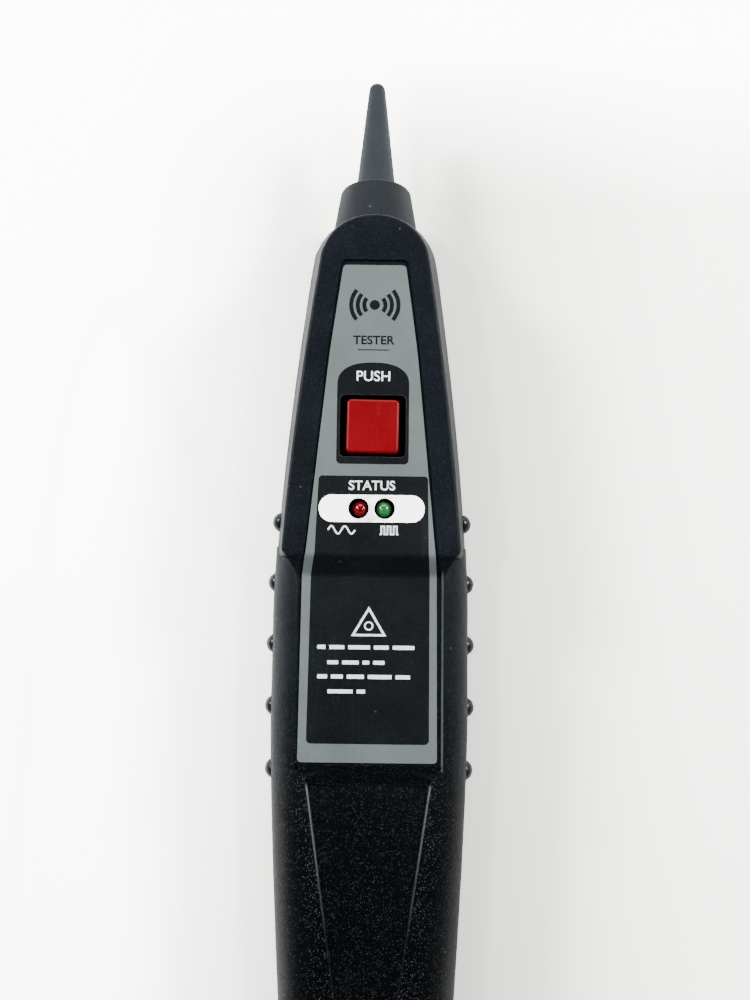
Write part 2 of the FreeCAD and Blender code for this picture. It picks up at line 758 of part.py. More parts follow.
def tail_board():
    plan = [(-10.0, -100.0), (12.6, -100.0), (12.6, -76.0), (-10.0, -76.0)]
    return plate(plan, 1.0, tail_board_z, tail_board_z + 1.2)


def earphone_jack():
    body = box(-4.4, 4.4, -half_length + 3.4, -half_length + 14.8, jack_z - 3.6, jack_z + 3.6)
    bush = cyl_y(3.0, 0, jack_z, -half_length + 0.15, -half_length + 3.6)
    bore = cyl_y(jack_bore_r, 0, jack_z, -half_length - 1, -half_length + 14.0)
    return body.fuse(bush).cut(bore).removeSplitter()


def tail_leads():
    # Three wires from the tail board along the side of the battery to the circuit board
    wires = []
    for i in range(3):
        start_x = -8.6 + 1.5 * i
        end_y = 4.0 + 1.6 * i
        z = 9.5 + 1.3 * i
        points = [V(start_x, -77.5, tail_board_z + 1.2), V(start_x, -77.5, z), V(-14.4, -69.0 - i, z),
                  V(-14.4, -12.4 + i, z), V(-8.6, -9.0, z), V(-8.6, end_y, z), V(-8.6, end_y, board_z)]
        wires.append(tube(points, 0.5, 1.0))
    return Part.Compound(wires)


def torch_leads():
    wires = []
    for s in (-1, 1):
        points = [V(s * 1.27, 86.2, torch_z), V(s * 1.27, 80.0, torch_z), V(s * 1.27, 75.0, board_z - 2.5),
                  V(s * 1.27, 75.0, board_z)]
        wires.append(tube(points, 0.3, 1.0))
    return Part.Compound(wires)


def tip_lead():
    points = [V(0, 78.0, tip_z), V(0, 75.4, tip_z + 0.4), V(0, 73.0, tip_z + 1.6), V(0, 70.5, tip_z + 1.2),
              V(0, 70.5, board_top)]
    return tube(points, 0.35, 0.8)


def speaker_leads():
    wires = []
    for s in (-1, 1):
        points = [V(s * 5.8, speaker_y + 3.0, 7.2), V(s * 7.6, speaker_y + 6.0, 9.0)]
        points += [V(s * 7.6, speaker_y + 9.0, 12.0), V(s * 7.6, speaker_y + 9.0, board_z)]
        wires.append(tube(points, 0.35, 0.9))
    return Part.Compound(wires)


def case_screws():
    group = []
    for x, y in both_sides(screws):
        floor = tail_step_z if y < door_y[0] else 0.0
        head = cyl_z(2.2, x, y, floor + 1.5, floor + 3.6)
        shank = cyl_z(1.2, x, y, floor + 3.6, 20.0)
        cross = [box(x - 1.3, x + 1.3, y - 0.3, y + 0.3, floor, floor + 2.6)]
        cross.append(box(x - 0.3, x + 0.3, y - 1.3, y + 1.3, floor, floor + 2.6))
        group.append(head.fuse(shank).cut(cross).removeSplitter())
    return Part.Compound(group)


save("front_shell", front_shell())
save("rear_shell", rear_shell())
save("nose_collar", nose_collar())
save("probe_tip", probe_tip())
save("tip_contact", tip_contact())
save("tip_lead", tip_lead())
save("torch_led", torch_led())
save("torch_leads", torch_leads())
save("label_overlay", label_overlay())
save("push_button", push_button())
save("switch_plunger", switch_plunger())
save("switch_body", switch_body())
save("button_spring", button_spring())
save("led_red", signal_led("red"))
save("led_green", signal_led("green"))
save("led_pins", led_pins())
save("right_grip_strip", grip_strip(1))
save("left_grip_strip", grip_strip(-1))
save("circuit_board", circuit_board())
save("amplifier_chip", amplifier_chip())
save("capacitors", capacitors())
save("resistors", resistors())
save("speaker_basket", speaker_basket())
save("speaker_cone", speaker_cone())
save("speaker_magnet", speaker_magnet())
save("speaker_gasket", speaker_gasket())
save("speaker_leads", speaker_leads())
save("battery", battery_block())
save("battery_terminals", battery_terminals())
save("battery_snap", battery_snap())
save("battery_lead_red", battery_lead(1))
save("battery_lead_black", battery_lead(-1))
save("foam_pad", foam_pad())
save("battery_door", battery_door())
save("volume_wheel", volume_wheel())
save("volume_shaft", volume_shaft())
save("wheel_screw", wheel_screw())
save("volume_control", volume_control())
save("tail_board", tail_board())
save("tail_leads", tail_leads())
save("earphone_jack", earphone_jack())
save("case_screws", case_screws())
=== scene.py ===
import bpy
import math
from mathutils import Matrix, Vector


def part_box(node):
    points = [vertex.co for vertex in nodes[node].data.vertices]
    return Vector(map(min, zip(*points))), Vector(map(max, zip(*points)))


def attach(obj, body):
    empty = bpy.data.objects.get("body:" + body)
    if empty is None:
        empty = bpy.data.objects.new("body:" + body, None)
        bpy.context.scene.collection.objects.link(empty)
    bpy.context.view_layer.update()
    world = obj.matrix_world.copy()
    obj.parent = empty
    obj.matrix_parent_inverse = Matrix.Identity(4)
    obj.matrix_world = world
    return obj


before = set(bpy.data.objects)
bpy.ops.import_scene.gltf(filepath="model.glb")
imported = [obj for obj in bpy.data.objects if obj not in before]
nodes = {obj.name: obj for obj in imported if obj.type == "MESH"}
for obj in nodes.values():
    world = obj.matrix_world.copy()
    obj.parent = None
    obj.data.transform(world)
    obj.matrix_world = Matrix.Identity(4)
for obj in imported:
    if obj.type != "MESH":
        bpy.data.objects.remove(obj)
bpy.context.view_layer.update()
mm = 0.001
print("frame loaded:", len(nodes), "nodes")


def clearSelection():
    if bpy.context.object and bpy.context.object.mode != "OBJECT":
        bpy.ops.object.mode_set(mode="OBJECT")
    bpy.ops.object.select_all(action="DESELECT")


def pick(obj):
    clearSelection()
    obj.select_set(True)
    bpy.context.view_layer.objects.active = obj
    return obj


# Material helpers

def newMaterial(name, colour=(0.5, 0.5, 0.5), roughness=0.5, metallic=0.0):
    mat = bpy.data.materials.new(name)
    mat.use_nodes = True
    shader = mat.node_tree.nodes["Principled BSDF"]
    shader.inputs["Base Color"].default_value = (*colour, 1)
    shader.inputs["Roughness"].default_value = roughness
    shader.inputs["Metallic"].default_value = metallic
    return mat, mat.node_tree, shader


def addNode(tree, kind, values=None, **settings):
    node = tree.nodes.new(kind)
    for key, value in settings.items():
        setattr(node, key, value)
    for key, value in (values or {}).items():
        node.inputs[key].default_value = value
    return node


def objectPlace(tree):
    return addNode(tree, "ShaderNodeTexCoord").outputs["Object"]


def maths(tree, operation, a, b=None, clamp=False):
    node = addNode(tree, "ShaderNodeMath", operation=operation, use_clamp=clamp)
    for i, value in enumerate((a, b)):
        if value is None:
            continue
        if isinstance(value, (int, float)):
            node.inputs[i].default_value = value
        else:
            tree.links.new(value, node.inputs[i])
    return node.outputs[0]


def spread(tree, value, low, high, outLow=0.0, outHigh=1.0):
    node = addNode(tree, "ShaderNodeMapRange", {1: low, 2: high, 3: outLow, 4: outHigh})
    tree.links.new(value, node.inputs[0])
    return node.outputs[0]


def mixColours(tree, factor, a, b):
    node = addNode(tree, "ShaderNodeMix", data_type="RGBA")
    for socket, value in ((node.inputs[0], factor), (node.inputs[6], a), (node.inputs[7], b)):
        if isinstance(value, (int, float)):
            socket.default_value = value
        elif isinstance(value, tuple):
            socket.default_value = (*value, 1)
        else:
            tree.links.new(value, socket)
    return node.outputs[2]


def separate(tree, vector):
    node = addNode(tree, "ShaderNodeSeparateXYZ")
    tree.links.new(vector, node.inputs[0])
    return node.outputs[0], node.outputs[1], node.outputs[2]


def product(tree, first, *others):
    result = first
    for value in others:
        result = maths(tree, "MULTIPLY", result, value)
    return result


def multiplyColours(tree, a, b):
    node = addNode(tree, "ShaderNodeMix", {0: 1.0}, data_type="RGBA", blend_type="MULTIPLY")
    tree.links.new(a, node.inputs[6])
    tree.links.new(b, node.inputs[7])
    return node.outputs[2]


def setColour(tree, shader, colour):
    tree.links.new(colour, shader.inputs["Base Color"])


def setRoughness(tree, shader, value):
    tree.links.new(value, shader.inputs["Roughness"])


def addBump(tree, shader, height, strength, distance):
    node = addNode(tree, "ShaderNodeBump", {"Strength": strength, "Distance": distance})
    tree.links.new(height, node.inputs["Height"])
    tree.links.new(node.outputs[0], shader.inputs["Normal"])
    return node


# Shared effects

def newGroup(name, inputs, outputs):
    group = bpy.data.node_groups.new(name, "ShaderNodeTree")
    for label, kind, value in inputs:
        socket = group.interface.new_socket(label, in_out="INPUT", socket_type=kind)
        if value is not None:
            socket.default_value = value
    for label, kind in outputs:
        group.interface.new_socket(label, in_out="OUTPUT", socket_type=kind)
    return group, group.nodes.new("NodeGroupInput"), group.nodes.new("NodeGroupOutput")


def makeGrainGroup():
    group, start, end = newGroup(
        "mouldGrain",
        [
            ("Place", "NodeSocketVector", None),
            ("Scale", "NodeSocketFloat", 2000.0),
            ("Coarse", "NodeSocketFloat", 0.5),
        ],
        [("Height", "NodeSocketFloat"), ("Shade", "NodeSocketFloat"), ("Glint", "NodeSocketFloat")],
    )
    fine = addNode(group, "ShaderNodeTexNoise", {"Detail": 3.0, "Roughness": 0.65})
    cells = addNode(group, "ShaderNodeTexVoronoi")
    broad = addNode(group, "ShaderNodeTexNoise", {"Scale": 120.0, "Detail": 2.0})
    turned = addNode(group, "ShaderNodeMapping", {"Rotation": (0.5, 0.35, 0.8)})  # no bands on flat sides
    group.links.new(start.outputs["Place"], turned.inputs["Vector"])
    for texture in (fine, cells):
        group.links.new(turned.outputs[0], texture.inputs["Vector"])
        group.links.new(start.outputs["Scale"], texture.inputs["Scale"])
    group.links.new(start.outputs["Place"], broad.inputs["Vector"])
    rough = product(group, cells.outputs["Distance"], start.outputs["Coarse"])
    group.links.new(maths(group, "SUBTRACT", fine.outputs["Fac"], rough), end.inputs["Height"])
    grains = product(group, fine.outputs["Fac"], 0.55)
    clouds = product(group, broad.outputs["Fac"], 0.45)
    group.links.new(maths(group, "ADD", grains, clouds), end.inputs["Shade"])
    # the Glint output marks small scattered dots, used for painted sparkle highlights and for lower roughness
    split = addNode(group, "ShaderNodeSeparateColor")
    group.links.new(cells.outputs["Color"], split.inputs[0])
    chosen = spread(group, split.outputs[0], 0.62, 0.92)
    dots = spread(group, cells.outputs["Distance"], 0.42, 0.2)
    group.links.new(product(group, chosen, dots), end.inputs["Glint"])
    return group


def makeDustGroup():
    group, start, end = newGroup(
        "dustSpecks",
        [("Place", "NodeSocketVector", None), ("Amount", "NodeSocketFloat", 0.5)],
        [("Dust", "NodeSocketFloat"), ("Smear", "NodeSocketFloat")],
    )
    specks = addNode(group, "ShaderNodeTexVoronoi", {"Scale": 420.0, "Randomness": 1.0})
    smears = addNode(group, "ShaderNodeTexNoise", {"Scale": 45.0, "Detail": 4.0, "Distortion": 0.6})
    for texture in (specks, smears):
        group.links.new(start.outputs["Place"], texture.inputs["Vector"])
    split = addNode(group, "ShaderNodeSeparateColor")
    group.links.new(specks.outputs["Color"], split.inputs[0])
    chosen = spread(group, split.outputs[1], 0.9, 0.92)
    dots = spread(group, specks.outputs["Distance"], 0.12, 0.05)
    group.links.new(product(group, chosen, dots, start.outputs["Amount"]), end.inputs["Dust"])
    group.links.new(spread(group, smears.outputs["Fac"], 0.45, 0.75), end.inputs["Smear"])
    return group


def makeScratchGroup():
    group, start, end = newGroup(
        "fineScratches",
        [("Place", "NodeSocketVector", None), ("Scale", "NodeSocketFloat", 60.0)],
        [("Lines", "NodeSocketFloat")],
    )
    stretch = addNode(group, "ShaderNodeMapping", {"Scale": (1.0, 0.12, 1.0), "Rotation": (0.1, 0.2, 0.6)})
    veins = addNode(group, "ShaderNodeTexNoise", {"Detail": 1.0, "Distortion": 0.4})
    group.links.new(start.outputs["Place"], stretch.inputs["Vector"])
    group.links.new(stretch.outputs[0], veins.inputs["Vector"])
    group.links.new(start.outputs["Scale"], veins.inputs["Scale"])
    offset = maths(group, "ABSOLUTE", maths(group, "SUBTRACT", veins.outputs["Fac"], 0.5))
    group.links.new(spread(group, offset, 0.006, 0.0), end.inputs["Lines"])
    return group


grainGroup = makeGrainGroup()
dustGroup = makeDustGroup()
scratchGroup = makeScratchGroup()


def useGroup(tree, group, place, **values):
    node = addNode(tree, "ShaderNodeGroup")
    node.node_tree = group
    tree.links.new(place, node.inputs["Place"])
    for key, value in values.items():
        node.inputs[key].default_value = value
    return node


def onHandle(tree, y, lips):
    return spread(tree, y, lips["start"] + 0.022, lips["start"] - 0.006)


def pastLip(tree, x, y, lips):
    reach = product(tree, spread(tree, y, lips["fade"], lips["start"]), lips["half"])
    return maths(tree, "SUBTRACT", maths(tree, "ABSOLUTE", x), reach)


# painted highlights: more glints on the handle, most of all beside its two lips
def handleSparkle(tree, place, lips):
    x, y, z = separate(tree, place)
    outside = pastLip(tree, x, y, lips)
    beside = product(tree, spread(tree, outside, 0.0, 0.0003), spread(tree, outside, 0.0048, 0.0002))
    beside = product(tree, beside, spread(tree, y, lips["end"], lips["fade"], 1.0, 2.2))
    extra = maths(tree, "ADD", product(tree, beside, 4.0), 1.4)
    return maths(tree, "ADD", product(tree, extra, onHandle(tree, y, lips)), 1.0)


# painted highlight lines along the handle's two lips, fading toward the tail
def lipLines(tree, x, y, z, lips):
    away = maths(tree, "ABSOLUTE", pastLip(tree, x, y, lips))
    line = spread(tree, away, lips["wide"], lips["wide"] * 0.3)
    below = spread(tree, y, lips["start"] + 0.0004, lips["start"] - 0.0004)
    fading = spread(tree, y, lips["end"], lips["start"], 0.04, 0.9)
    return product(tree, line, below, fading, spread(tree, z, 0.018, 0.019))


# painted highlight line along the platform's right edge
def rimLine(tree, x, z, rim):
    edge = spread(tree, maths(tree, "ABSOLUTE", maths(tree, "SUBTRACT", x, rim)), 0.00026, 0.0001)
    return product(tree, edge, spread(tree, z, 0.0249, 0.0251), spread(tree, z, 0.0261, 0.0259))


# painted highlights: the lip lines and the rim line, made stronger and weaker at random
def paintedEdgeHighlights(tree, place, cloud, lips):
    x, y, z = separate(tree, place)
    rim = product(tree, rimLine(tree, x, z, lips["rim"]), 0.5)
    both = maths(tree, "ADD", lipLines(tree, x, y, z, lips), rim, clamp=True)
    return product(tree, both, spread(tree, cloud, 0.35, 0.55, 0.35, 1.0))


def mouldedPlastic(name, look):
    mat, tree, shader = newMaterial(name, look["dark"], look["roughness"])
    place = objectPlace(tree)
    grain = useGroup(tree, grainGroup, place, Scale=look["grainScale"], Coarse=look["coarse"])
    dust = useGroup(tree, dustGroup, place, Amount=look["dust"])
    shade = grain.outputs["Shade"]
    lips = look["lips"]
    x, y, z = separate(tree, place)
    colour = mixColours(tree, spread(tree, shade, 0.4, 0.62), look["dark"], look["light"])
    glint = product(tree, grain.outputs["Glint"], look["glint"])
    if lips:  # painted shade darkens the handle, and painted glints sparkle more on it, most of all beside its two lips
        colour = mixColours(tree, onHandle(tree, y, lips), colour, look["handle"])
        glint = maths(tree, "MULTIPLY", glint, handleSparkle(tree, place, lips), clamp=True)
    # painted highlights: glint dots mixed toward a pale colour, as sparkles of light on the grain
    colour = mixColours(tree, glint, colour, look["glintColour"])
    colour = mixColours(tree, dust.outputs["Dust"], colour, (0.35, 0.36, 0.37))
    if lips:  # painted highlights: bright lines along the handle's two lips and the platform's right edge
        colour = mixColours(tree, paintedEdgeHighlights(tree, place, shade, lips), colour, look["edgeHighlight"])
    if look["seam"]:  # a thin dark line where the two shells meet
        away = maths(tree, "ABSOLUTE", maths(tree, "SUBTRACT", z, look["seam"]))
        colour = mixColours(tree, spread(tree, away, 0.00007, 0.00016), (0.002, 0.002, 0.002), colour)
    setColour(tree, shader, colour)
    polish = product(tree, grain.outputs["Glint"], look["shine"])
    rough = maths(tree, "SUBTRACT", look["roughness"] + 0.05, polish)
    rough = maths(tree, "ADD", rough, product(tree, dust.outputs["Smear"], 0.06))
    setRoughness(tree, shader, rough)
    shader.inputs["Specular IOR Level"].default_value = look["specular"]
    addBump(tree, shader, grain.outputs["Height"], look["bump"], look["bumpDepth"])
    return mat


plasticLook = {
    "dark": (0.0026, 0.0042, 0.0066),
    "light": (0.0055, 0.0082, 0.0122),
    # glintColour: colour of the painted sparkle highlights
    "glintColour": (0.11, 0.12, 0.135),
    "roughness": 0.31,
    "specular": 0.1,
    "grainScale": 4200.0,
    "coarse": 0.6,
    "glint": 0.24,
    "shine": 0.1,
    "bump": 0.4,
    "bumpDepth": 0.00013,
    "dust": 0.12,
    "seam": 0.013,
    "lips": {"start": -0.0286, "fade": -0.105, "end": -0.056, "half": 0.0119, "wide": 0.00024, "rim": 0.014},
    # edgeHighlight: colour of the painted highlight lines
    "edgeHighlight": (0.17, 0.175, 0.18),
    # handle: painted shade, the darker colour laid on the handle
    "handle": (0.0008, 0.0011, 0.0018),
}
texturedPlastic = mouldedPlastic("blackTexturedPlastic", plasticLook)

noseLook = dict(
    plasticLook, dark=(0.012, 0.0145, 0.0175), light=(0.017, 0.02, 0.0235), grainScale=3400.0, bump=0.28,
    bumpDepth=0.00009, glint=0.05, shine=0.05, roughness=0.4, specular=0.09, seam=None, lips=None, dust=0.2,
    coarse=0.35,
)
smoothPlastic = mouldedPlastic("blackSmoothPlastic", noseLook)

tipLook = dict(noseLook, dark=(0.026, 0.031, 0.037), light=(0.034, 0.04, 0.047), specular=0.06)
tipPlastic = mouldedPlastic("probeTipPlastic", tipLook)

gripLook = dict(
    noseLook, dark=(0.006, 0.007, 0.009), light=(0.01, 0.011, 0.014), roughness=0.2, shine=0.02, bump=0.1,
    glint=0.03, specular=0.3, dust=0.15,
)
gripRubber = mouldedPlastic("glossyBlackRubber", gripLook)

greyLook = dict(
    noseLook, dark=(0.16, 0.165, 0.17), light=(0.21, 0.215, 0.22), glintColour=(0.3, 0.3, 0.3), dust=0.1,
)
greyPlastic = mouldedPlastic("greyPlastic", greyLook)

chipLook = dict(noseLook, dark=(0.012, 0.012, 0.013), light=(0.02, 0.02, 0.021), roughness=0.6, dust=0.1)
chipPlastic = mouldedPlastic("chipBody", chipLook)

foamLook = dict(
    noseLook, dark=(0.03, 0.03, 0.032), light=(0.07, 0.07, 0.072), roughness=0.92, grainScale=1100.0,
    coarse=1.1, bump=0.9, bumpDepth=0.0004, glint=0.1,
)
foamMaterial = mouldedPlastic("openCellFoam", foamLook)

coneLook = dict(
    noseLook, dark=(0.03, 0.028, 0.025), light=(0.055, 0.05, 0.045), roughness=0.8, grainScale=900.0,
)
conePaper = mouldedPlastic("conePaper", coneLook)

ferriteLook = dict(chipLook, dark=(0.03, 0.031, 0.034), light=(0.05, 0.052, 0.056), roughness=0.5)
ferrite = mouldedPlastic("magnetFerrite", ferriteLook)


def glossyRed():
    mat, tree, shader = newMaterial("redButtonPlastic", (0.3, 0.003, 0.005), 0.3)
    place = objectPlace(tree)
    grain = useGroup(tree, grainGroup, place, Scale=1500.0, Coarse=0.2)
    lines = useGroup(tree, scratchGroup, place, Scale=420.0)
    dust = useGroup(tree, dustGroup, place, Amount=0.04)
    shader.inputs["Specular IOR Level"].default_value = 0.2
    shade = spread(tree, grain.outputs["Shade"], 0.4, 0.62)
    colour = mixColours(tree, shade, (0.18, 0.0006, 0.004), (0.215, 0.001, 0.006))
    colour = mixColours(tree, product(tree, lines.outputs["Lines"], 0.025), colour, (0.6, 0.1, 0.1))
    colour = mixColours(tree, dust.outputs["Dust"], colour, (0.7, 0.5, 0.5))
    setColour(tree, shader, colour)
    rough = maths(tree, "ADD", product(tree, lines.outputs["Lines"], 0.04), 0.3)
    rough = maths(tree, "ADD", rough, product(tree, dust.outputs["Smear"], 0.08))
    setRoughness(tree, shader, rough)
    addBump(tree, shader, grain.outputs["Height"], 0.12, 0.00006)
    return mat


def metal(name, dark, light, roughness):
    mat, tree, shader = newMaterial(name, dark, roughness, 1.0)
    place = objectPlace(tree)
    grain = useGroup(tree, grainGroup, place, Scale=2200.0, Coarse=0.2)
    lines = useGroup(tree, scratchGroup, place, Scale=380.0)
    setColour(tree, shader, mixColours(tree, spread(tree, grain.outputs["Shade"], 0.38, 0.64), dark, light))
    setRoughness(tree, shader, maths(tree, "ADD", product(tree, lines.outputs["Lines"], 0.2), roughness))
    addBump(tree, shader, grain.outputs["Height"], 0.15, 0.00005)
    return mat


def wireJacket(name, dark, light):
    mat, tree, shader = newMaterial(name, dark, 0.38)
    place = objectPlace(tree)
    grain = useGroup(tree, grainGroup, place, Scale=1400.0, Coarse=0.3)
    setColour(tree, shader, mixColours(tree, spread(tree, grain.outputs["Shade"], 0.4, 0.62), dark, light))
    addBump(tree, shader, grain.outputs["Height"], 0.2, 0.00005)
    return mat


def lensPlastic(name, look):  # clear plastic, darker in the middle, with a painted highlight: a paler ring where the dome turns down
    mat, tree, shader = newMaterial(name, look["body"], 0.12)
    place = objectPlace(tree)
    centred = addNode(tree, "ShaderNodeMapping", {"Location": (-look["x"], -look["y"], 0.0)})
    tree.links.new(place, centred.inputs["Vector"])
    flat = addNode(tree, "ShaderNodeVectorMath", {1: look["axis"]}, operation="MULTIPLY")
    tree.links.new(centred.outputs[0], flat.inputs[0])
    away = addNode(tree, "ShaderNodeVectorMath", operation="LENGTH")
    tree.links.new(flat.outputs[0], away.inputs[0])
    reach = away.outputs["Value"]
    middle = spread(tree, reach, look["core"], look["core"] * 1.6)
    colour = mixColours(tree, middle, look["heart"], look["body"])
    # painted highlight: the paler ring where the dome turns down
    colour = mixColours(tree, spread(tree, reach, look["ring"] * 0.82, look["ring"]), colour, look["rim"])
    cloud = addNode(tree, "ShaderNodeTexNoise", {"Scale": 900.0, "Detail": 2.0})
    tree.links.new(place, cloud.inputs["Vector"])
    colour = mixColours(tree, spread(tree, cloud.outputs["Fac"], 0.45, 0.8, 0.0, 0.25), colour, look["rim"])
    setColour(tree, shader, colour)
    setRoughness(tree, shader, spread(tree, cloud.outputs["Fac"], 0.3, 0.7, 0.06, 0.1))
    shader.inputs["Coat Weight"].default_value = 0.8
    shader.inputs["Coat Roughness"].default_value = 0.03
    shader.inputs["Subsurface Weight"].default_value = 0.2
    shader.inputs["Subsurface Radius"].default_value = (0.001, 0.001, 0.001)
    return mat


redLensLook = {
    "x": -0.0022, "y": 0.0244, "axis": (1.0, 1.0, 0.0), "core": 0.0004, "ring": 0.00135,
    "heart": (0.12, 0.002, 0.004), "body": (0.24, 0.004, 0.007), "rim": (0.36, 0.03, 0.04),
}
greenLensLook = {
    "x": 0.00235, "y": 0.0244, "axis": (1.0, 1.0, 0.0), "core": 0.0004, "ring": 0.00135,
    "heart": (0.02, 0.13, 0.035), "body": (0.035, 0.24, 0.06), "rim": (0.1, 0.42, 0.15),
}
torchLensLook = {
    "x": 0.0, "y": 0.0, "axis": (1.0, 0.0, 0.0), "core": 0.0006, "ring": 0.0024,
    "heart": (0.7, 0.66, 0.3), "body": (0.8, 0.82, 0.84), "rim": (0.9, 0.92, 0.95),
}


def labelGrey():
    mat, tree, shader = newMaterial("labelGrey", (0.26, 0.3, 0.305), 0.42)
    place = objectPlace(tree)
    grain = useGroup(tree, grainGroup, place, Scale=3800.0, Coarse=0.25)
    dust = useGroup(tree, dustGroup, place, Amount=0.25)
    lines = useGroup(tree, scratchGroup, place, Scale=150.0)
    shade = spread(tree, grain.outputs["Shade"], 0.38, 0.64)
    colour = mixColours(tree, shade, (0.116, 0.14, 0.138), (0.145, 0.17, 0.167))
    # painted highlights: glint dots mixed toward a paler grey, as sparkles
    colour = mixColours(tree, product(tree, grain.outputs["Glint"], 0.2), colour, (0.3, 0.32, 0.33))
    colour = mixColours(tree, product(tree, lines.outputs["Lines"], 0.05), colour, (0.4, 0.42, 0.42))
    setColour(tree, shader, mixColours(tree, dust.outputs["Dust"], colour, (0.1, 0.1, 0.1)))
    setRoughness(tree, shader, maths(tree, "ADD", product(tree, dust.outputs["Smear"], 0.1), 0.4))
    addBump(tree, shader, grain.outputs["Height"], 0.2, 0.00004)
    return mat


def labelBlack():
    mat, tree, shader = newMaterial("labelBlack", (0.012, 0.013, 0.014), 0.42)
    shader.inputs["Specular IOR Level"].default_value = 0.15
    place = objectPlace(tree)
    grain = useGroup(tree, grainGroup, place, Scale=3800.0, Coarse=0.25)
    dust = useGroup(tree, dustGroup, place, Amount=0.2)
    lines = useGroup(tree, scratchGroup, place, Scale=150.0)
    shade = spread(tree, grain.outputs["Shade"], 0.38, 0.64)
    colour = mixColours(tree, shade, (0.003, 0.0042, 0.005), (0.0068, 0.009, 0.0108))
    # painted highlights: glint dots mixed toward a paler black, as sparkles
    colour = mixColours(tree, product(tree, grain.outputs["Glint"], 0.35), colour, (0.045, 0.05, 0.055))
    colour = mixColours(tree, product(tree, lines.outputs["Lines"], 0.08), colour, (0.05, 0.05, 0.055))
    setColour(tree, shader, mixColours(tree, dust.outputs["Dust"], colour, (0.3, 0.3, 0.3)))
    setRoughness(tree, shader, maths(tree, "ADD", product(tree, dust.outputs["Smear"], 0.1), 0.38))
    addBump(tree, shader, grain.outputs["Height"], 0.22, 0.00004)
    return mat


def printWhite(name, clean, stained, cameraGlow):
    mat, tree, shader = newMaterial(name, clean, 0.45)
    place = objectPlace(tree)
    centred = addNode(tree, "ShaderNodeMapping", {"Location": (0.0, -0.0244, 0.0), "Scale": (0.8, 1.0, 0.0)})
    tree.links.new(place, centred.inputs["Vector"])
    away = addNode(tree, "ShaderNodeVectorMath", operation="LENGTH")
    tree.links.new(centred.outputs[0], away.inputs[0])
    cloud = addNode(tree, "ShaderNodeTexNoise", {"Scale": 600.0, "Detail": 4.0})
    tree.links.new(place, cloud.inputs["Vector"])
    near = spread(tree, away.outputs["Value"], 0.0042, 0.0024)
    stain = product(tree, near, spread(tree, cloud.outputs["Fac"], 0.35, 0.65, 0.0, 0.8))
    specks = spread(tree, cloud.outputs["Fac"], 0.3, 0.7)
    colour = mixColours(tree, specks, tuple(c * 0.93 for c in clean), clean)
    colour = mixColours(tree, stain, colour, stained)  # yellowed a little beside the lamp holes
    path = addNode(tree, "ShaderNodeLightPath")  # painted glow: to the camera alone the print shows brighter than the light on it makes it
    seen = mixColours(tree, path.outputs["Is Camera Ray"], (1.0, 1.0, 1.0), cameraGlow)
    setColour(tree, shader, multiplyColours(tree, colour, seen))
    setRoughness(tree, shader, spread(tree, cloud.outputs["Fac"], 0.3, 0.7, 0.38, 0.5))
    return mat


def boardGreen():  # solder mask over copper tracks
    mat, tree, shader = newMaterial("boardGreen", (0.02, 0.12, 0.05), 0.35)
    place = objectPlace(tree)
    pattern = {"Scale": 320.0, "Mortar Size": 0.03, "Brick Width": 1.4, "Row Height": 0.5}
    tracks = addNode(tree, "ShaderNodeTexBrick", pattern)
    tree.links.new(place, tracks.inputs["Vector"])
    grain = useGroup(tree, grainGroup, place, Scale=1200.0, Coarse=0.3)
    shade = spread(tree, grain.outputs["Shade"], 0.4, 0.62)
    colour = mixColours(tree, shade, (0.012, 0.085, 0.035), (0.02, 0.12, 0.05))
    setColour(tree, shader, mixColours(tree, tracks.outputs["Fac"], colour, (0.05, 0.22, 0.09)))
    addBump(tree, shader, tracks.outputs["Fac"], 0.3, 0.00005)
    return mat


def batteryJacket():  # dark foil with a plain grey band at the terminals
    mat, tree, shader = newMaterial("batteryJacket", (0.02, 0.02, 0.024), 0.3, 0.6)
    place = objectPlace(tree)
    x, y, z = separate(tree, place)
    grain = useGroup(tree, grainGroup, place, Scale=900.0, Coarse=0.2)
    low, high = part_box("battery")
    stripe = spread(tree, y, high.y - 0.0172, high.y - 0.017)
    dark = mixColours(tree, grain.outputs["Shade"], (0.014, 0.015, 0.02), (0.03, 0.032, 0.038))
    setColour(tree, shader, mixColours(tree, stripe, dark, (0.28, 0.29, 0.3)))
    setRoughness(tree, shader, spread(tree, grain.outputs["Shade"], 0.3, 0.7, 0.24, 0.36))
    addBump(tree, shader, grain.outputs["Height"], 0.1, 0.00005)
    return mat


redButton = glossyRed()
greyFilm = labelGrey()
blackInk = labelBlack()
# the last colour of each print is its painted glow, as the camera sees it
whiteInk = printWhite("whitePill", (0.9, 0.9, 0.89), (0.3, 0.28, 0.2), (3.2, 3.2, 3.2))
paleInk = printWhite("paleInk", (0.74, 0.75, 0.75), (0.74, 0.75, 0.75), (1.6, 1.6, 1.6))
brass = metal("brass", (0.5, 0.33, 0.12), (0.62, 0.44, 0.18), 0.3)
tinned = metal("tinnedMetal", (0.5, 0.5, 0.5), (0.66, 0.66, 0.65), 0.32)
springSteel = metal("springSteel", (0.42, 0.42, 0.43), (0.58, 0.58, 0.58), 0.28)
zincScrew = metal("zincScrew", (0.36, 0.36, 0.37), (0.55, 0.54, 0.52), 0.38)
canMetal = metal("capacitorCan", (0.4, 0.42, 0.45), (0.6, 0.61, 0.62), 0.25)

